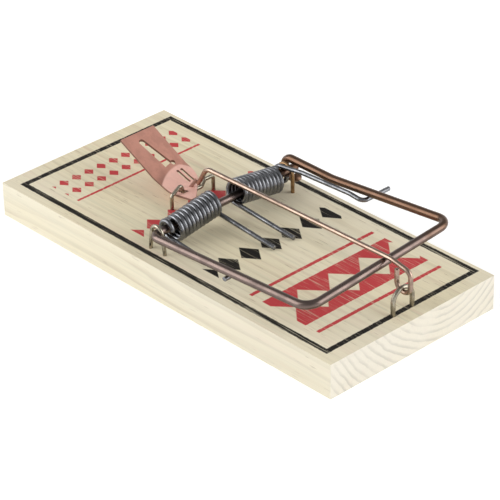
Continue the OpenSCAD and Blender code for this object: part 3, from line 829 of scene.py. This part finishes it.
class TRAP_OT_staples(bpy.types.Operator):
    """Finishes the staples that hold the hammer, the lock bar and the pedal"""

    bl_idname = "trap.staples"
    bl_label = "Staples"

    def execute(self, context):
        finish = context.scene.trap_finish
        plated = metal_finish(
            "staple_wire", finish.staple, rough=0.26, tarnish=shade(finish.staple, 0.6)
        )
        brown = metal_finish(
            "brown_staple_wire", finish.brown_staple, rough=0.3, tarnish=shade(finish.brown_staple, 0.6)
        )
        for node in ("lock_bar_staple", "pedal_staple"):
            dress(node, plated)
        dress("far_pivot_staple", brown)

        # The near pivot staple. Its legs run together and touch the crown, which is an arc about
        # the rod. The lines that they lie on meet in the apex
        thick, half, crown_radius, knee_bend = 1.5, 3.8, 2.85, 1.5
        foot_z, knee_z = BOARD_TOP - 6.0, BOARD_TOP + 0.8
        depth = ROD_Z - knee_z
        slack = half**2 - crown_radius**2
        reach = math.sqrt((crown_radius * depth) ** 2 + slack * (half**2 + depth**2))
        apex_z = ROD_Z + crown_radius * (crown_radius * depth + reach) / slack
        outline = [(-half, foot_z), (-half, knee_z), (0, apex_z), (half, knee_z), (half, foot_z)]
        path = [(ROD_X + x, NEAR_STAPLE_Y, z) for x, z in outline]
        begin_wire(path[0], (0, 0, 1), thick, THIN_SIDES)
        along_path(path, [0, knee_bend, crown_radius, knee_bend, 0])
        end_wire("near_staple_wire", "board", "near_pivot_staple", plated, rim=0.1)
        return {"FINISHED"}


class TRAP_OT_pedal(bpy.types.Operator):
    """Bends the pedal's sheet, cuts its slots and its corner, and joins its catch"""

    bl_idname = "trap.pedal"
    bl_label = "Pedal"

    def execute(self, context):
        sizes = context.scene.trap_pedal
        thick = sizes.thick
        front_reach, fold_back, neck_back, fold_bend = 8.7, 3.6, 13.0, 12.0
        front_x, fold_x = HINGE_X + front_reach, HINGE_X - fold_back
        neck_x, bait_x = HINGE_X - neck_back, HINGE_X - sizes.bait_reach

        def pad_z(x):
            return BOARD_TOP + sizes.pad_lift - thick / 2 + sizes.pad_slope * (x - HINGE_X)

        neck_z = pad_z(fold_x) + sizes.neck_slope * (fold_x - neck_x)
        bait_z = neck_z + sizes.bait_slope * (neck_x - bait_x)
        stations = [(front_x, pad_z(front_x)), (fold_x, pad_z(fold_x)), (neck_x, neck_z), (bait_x, bait_z)]
        path = [(x, LOCK_Y, z) for x, z in stations]
        begin_strip(path[0], (-1, 0, -sizes.pad_slope), thick, sizes.width)
        along_path(path, [0, fold_bend, fold_bend, 0])
        pedal = close_ends()

        # The catch stands up from the pad, with its lip over the lock bar's tip
        lip_reach, lip_lift, catch_slope, catch_width = 3.06, 5.25, 1.3, 1.6
        lip = (HINGE_X + lip_reach, LOCK_Y, pad_z(HINGE_X) + lip_lift)
        run = (lip[2] - pad_z(lip[0])) / (catch_slope - sizes.pad_slope)
        begin_strip(lip, (-1, 0, -catch_slope), thick, catch_width)
        go_on((-run, 0, -run * catch_slope))
        cut(pedal, close_ends(), "UNION")

        def slot(back, aside, **form):
            """Cuts a slot at a distance back from the hinge and aside from the lock bar"""
            cut(pedal, slot_cutter((HINGE_X - back, LOCK_Y + aside), **form))

        # Slots: bait, small hole, staple hole, and a window on each side of its bridge
        window_aside, half_apart = 3.3, 0.98
        slot(21.4, 0.0, length=13.4, round_end=2.6, square_end=4.0, turn=math.radians(12))
        slot(14.9, 3.7, length=2.0, round_end=2.0, square_end=1.2)
        slot(0.0, -4.8, length=3.8, round_end=2.7, square_end=2.7)
        for side in (-1, 1):
            slot(7.6, window_aside + side * half_apart, length=7.4, round_end=1.15, square_end=1.15)

        # The skew front edge runs into the far side in a wide round corner. From there the fence
        # runs along the far side, a hair outside it, and its other points lie in the waste
        skew_aside, along_side, hair, waste_bend = 2.7, 8, 0.03, 0.5
        far_y = LOCK_Y + sizes.width / 2
        meeting_x = HINGE_X + LOCK_Y + skew_aside - far_y
        past = front_x + 2
        waste = (meeting_x - along_side - 1, far_y + 3)
        outline = [
            waste,
            (meeting_x - along_side, far_y + hair),
            (meeting_x, far_y),
            (past, far_y - (past - meeting_x)),
            (past + 2, far_y),
            waste,
        ]
        begin_fence((*waste, CUTTER_Z), CUTTER_HEIGHT)
        fence = [(*q, CUTTER_Z) for q in outline]
        along_path(fence, [0, waste_bend, sizes.corner_radius, waste_bend, waste_bend, 0])
        cut(pedal, close_ends())
        material = sheet_finish(context.scene.trap_finish)
        hand_over(pedal, "pedal_plate", "pedal", "pedal", material, rim=0.1)
        return {"FINISHED"}


class TRAP_OT_stage(bpy.types.Operator):
    """Sets the floor, the light and the camera"""

    bl_idname = "trap.stage"
    bl_label = "Stage"

    def execute(self, context):
        stage = context.scene.trap_stage
        self.floor()
        self.light(stage)
        self.camera(context, stage)
        context.scene.view_settings.view_transform = "Standard"
        return {"FINISHED"}

    def floor(self):
        bpy.ops.object.select_all(action="DESELECT")
        floor_size, paper_glow = 12.0, 0.42
        bpy.ops.mesh.primitive_plane_add(size=floor_size, location=(0, 0, 0))
        floor = bpy.context.object
        floor.name = "floor"
        m = Nodes("floor_paper", Roughness=0.9)
        m.shader.inputs["Base Color"].default_value = (0.80, 0.80, 0.80, 1)
        tooth = m.noise((0.5, 0.5, 0.5), 3.0)
        m.bump(tooth, 0.05, 0.1)
        # The paper glows a little where it is seen or mirrored, and casts no glow on dull surfaces
        ray = m.add("LightPath").outputs
        mirrored = m.math("MAXIMUM", ray["Is Glossy Ray"], ray["Is Transmission Ray"])
        seen = m.math("MAXIMUM", ray["Is Camera Ray"], mirrored)
        m.shader.inputs["Emission Color"].default_value = (1, 1, 1, 1)
        m.paint("Emission Strength", m.math("MULTIPLY", seen, paper_glow))
        floor.data.materials.append(m.material)

    def light(self, stage):
        world = bpy.data.worlds.new("even_sky")
        world.use_nodes = True
        bpy.context.scene.world = world
        tree = world.node_tree
        back = tree.nodes["Background"]
        back.inputs["Color"].default_value = (1.0, 1.0, 1.0, 1)
        # The sky is palest at the level and darker overhead, as in a white tent with an open top
        way = tree.nodes.new("ShaderNodeTexCoord")
        split = tree.nodes.new("ShaderNodeSeparateXYZ")
        fade = tree.nodes.new("ShaderNodeMapRange")
        fade.interpolation_type = "SMOOTHSTEP"
        fade_top = 0.6
        for socket, value in (
            ("From Min", 0.0),
            ("From Max", fade_top),
            ("To Min", stage.low_sky),
            ("To Max", stage.high_sky),
        ):
            fade.inputs[socket].default_value = value
        tree.links.new(way.outputs["Generated"], split.inputs[0])
        tree.links.new(split.outputs["Z"], fade.inputs["Value"])
        tree.links.new(fade.outputs["Result"], back.inputs["Strength"])
        lamp_size, lit_place = 1.1, Vector((0, 0, 0.01))
        for name, place, power in (
            ("right_lamp", (0.95, 0.68, 0.52), stage.right_strength),
            ("left_lamp", (-0.72, -0.85, 0.55), stage.left_strength),
        ):
            bpy.ops.object.light_add(type="AREA", location=place)
            lamp = bpy.context.object
            lamp.name = name
            lamp.data.energy = power
            lamp.data.size = lamp_size
            lamp.rotation_euler = (lit_place - Vector(place)).to_track_quat("-Z", "Y").to_euler()

    def camera(self, context, stage):
        a, e = stage.azimuth, stage.elevation
        back = Vector((math.sin(a) * math.cos(e), -math.cos(a) * math.cos(e), math.sin(e)))
        target = Vector(stage.target) * MM
        bpy.ops.object.camera_add(location=target + back * stage.distance * MM)
        camera = context.object
        camera.data.sensor_width = 36.0
        camera.data.lens = stage.lens
        camera.data.clip_start, camera.data.clip_end = 0.01, 50.0
        camera.rotation_mode = "QUATERNION"
        turn = Matrix.Rotation(stage.roll, 4, back).to_quaternion()
        camera.rotation_quaternion = turn @ (-back).to_track_quat("-Z", "Y")
        context.scene.camera = camera


class TRAP_PT_panel(bpy.types.Panel):
    """Lists the trap's settings and pieces"""

    bl_idname = "TRAP_PT_panel"
    bl_label = "Snap Trap"
    bl_space_type = "VIEW_3D"
    bl_region_type = "UI"
    bl_category = "Snap Trap"

    def draw(self, context):
        scene = context.scene
        for group in (getattr(scene, key) for key in GROUPS):
            box = self.layout.box()
            for name in group.bl_rna.properties.keys():
                if name not in ("rna_type", "name"):
                    box.prop(group, name)
        for operator in OPERATORS:
            self.layout.operator(operator.bl_idname)


GROUPS = {
    "trap_wires": TRAP_PG_wires,
    "trap_pedal": TRAP_PG_pedal,
    "trap_finish": TRAP_PG_finish,
    "trap_stage": TRAP_PG_stage,
}
OPERATORS = (
    TRAP_OT_board,
    TRAP_OT_hammer,
    TRAP_OT_springs,
    TRAP_OT_lock_bar,
    TRAP_OT_staples,
    TRAP_OT_pedal,
    TRAP_OT_stage,
)
CLASSES = (*GROUPS.values(), *OPERATORS, TRAP_PT_panel)


def register():
    for cls in CLASSES:
        bpy.utils.register_class(cls)
    for name, group in GROUPS.items():
        setattr(bpy.types.Scene, name, bpy.props.PointerProperty(type=group))


def unregister():
    for name in GROUPS:
        delattr(bpy.types.Scene, name)
    for cls in reversed(CLASSES):
        bpy.utils.unregister_class(cls)


def main():
    register()
    bpy.ops.trap.board()
    bpy.ops.trap.hammer()
    bpy.ops.trap.springs()
    bpy.ops.trap.lock_bar()
    bpy.ops.trap.staples()
    bpy.ops.trap.pedal()
    bpy.ops.trap.stage()


if __name__ == "__main__":
    main()
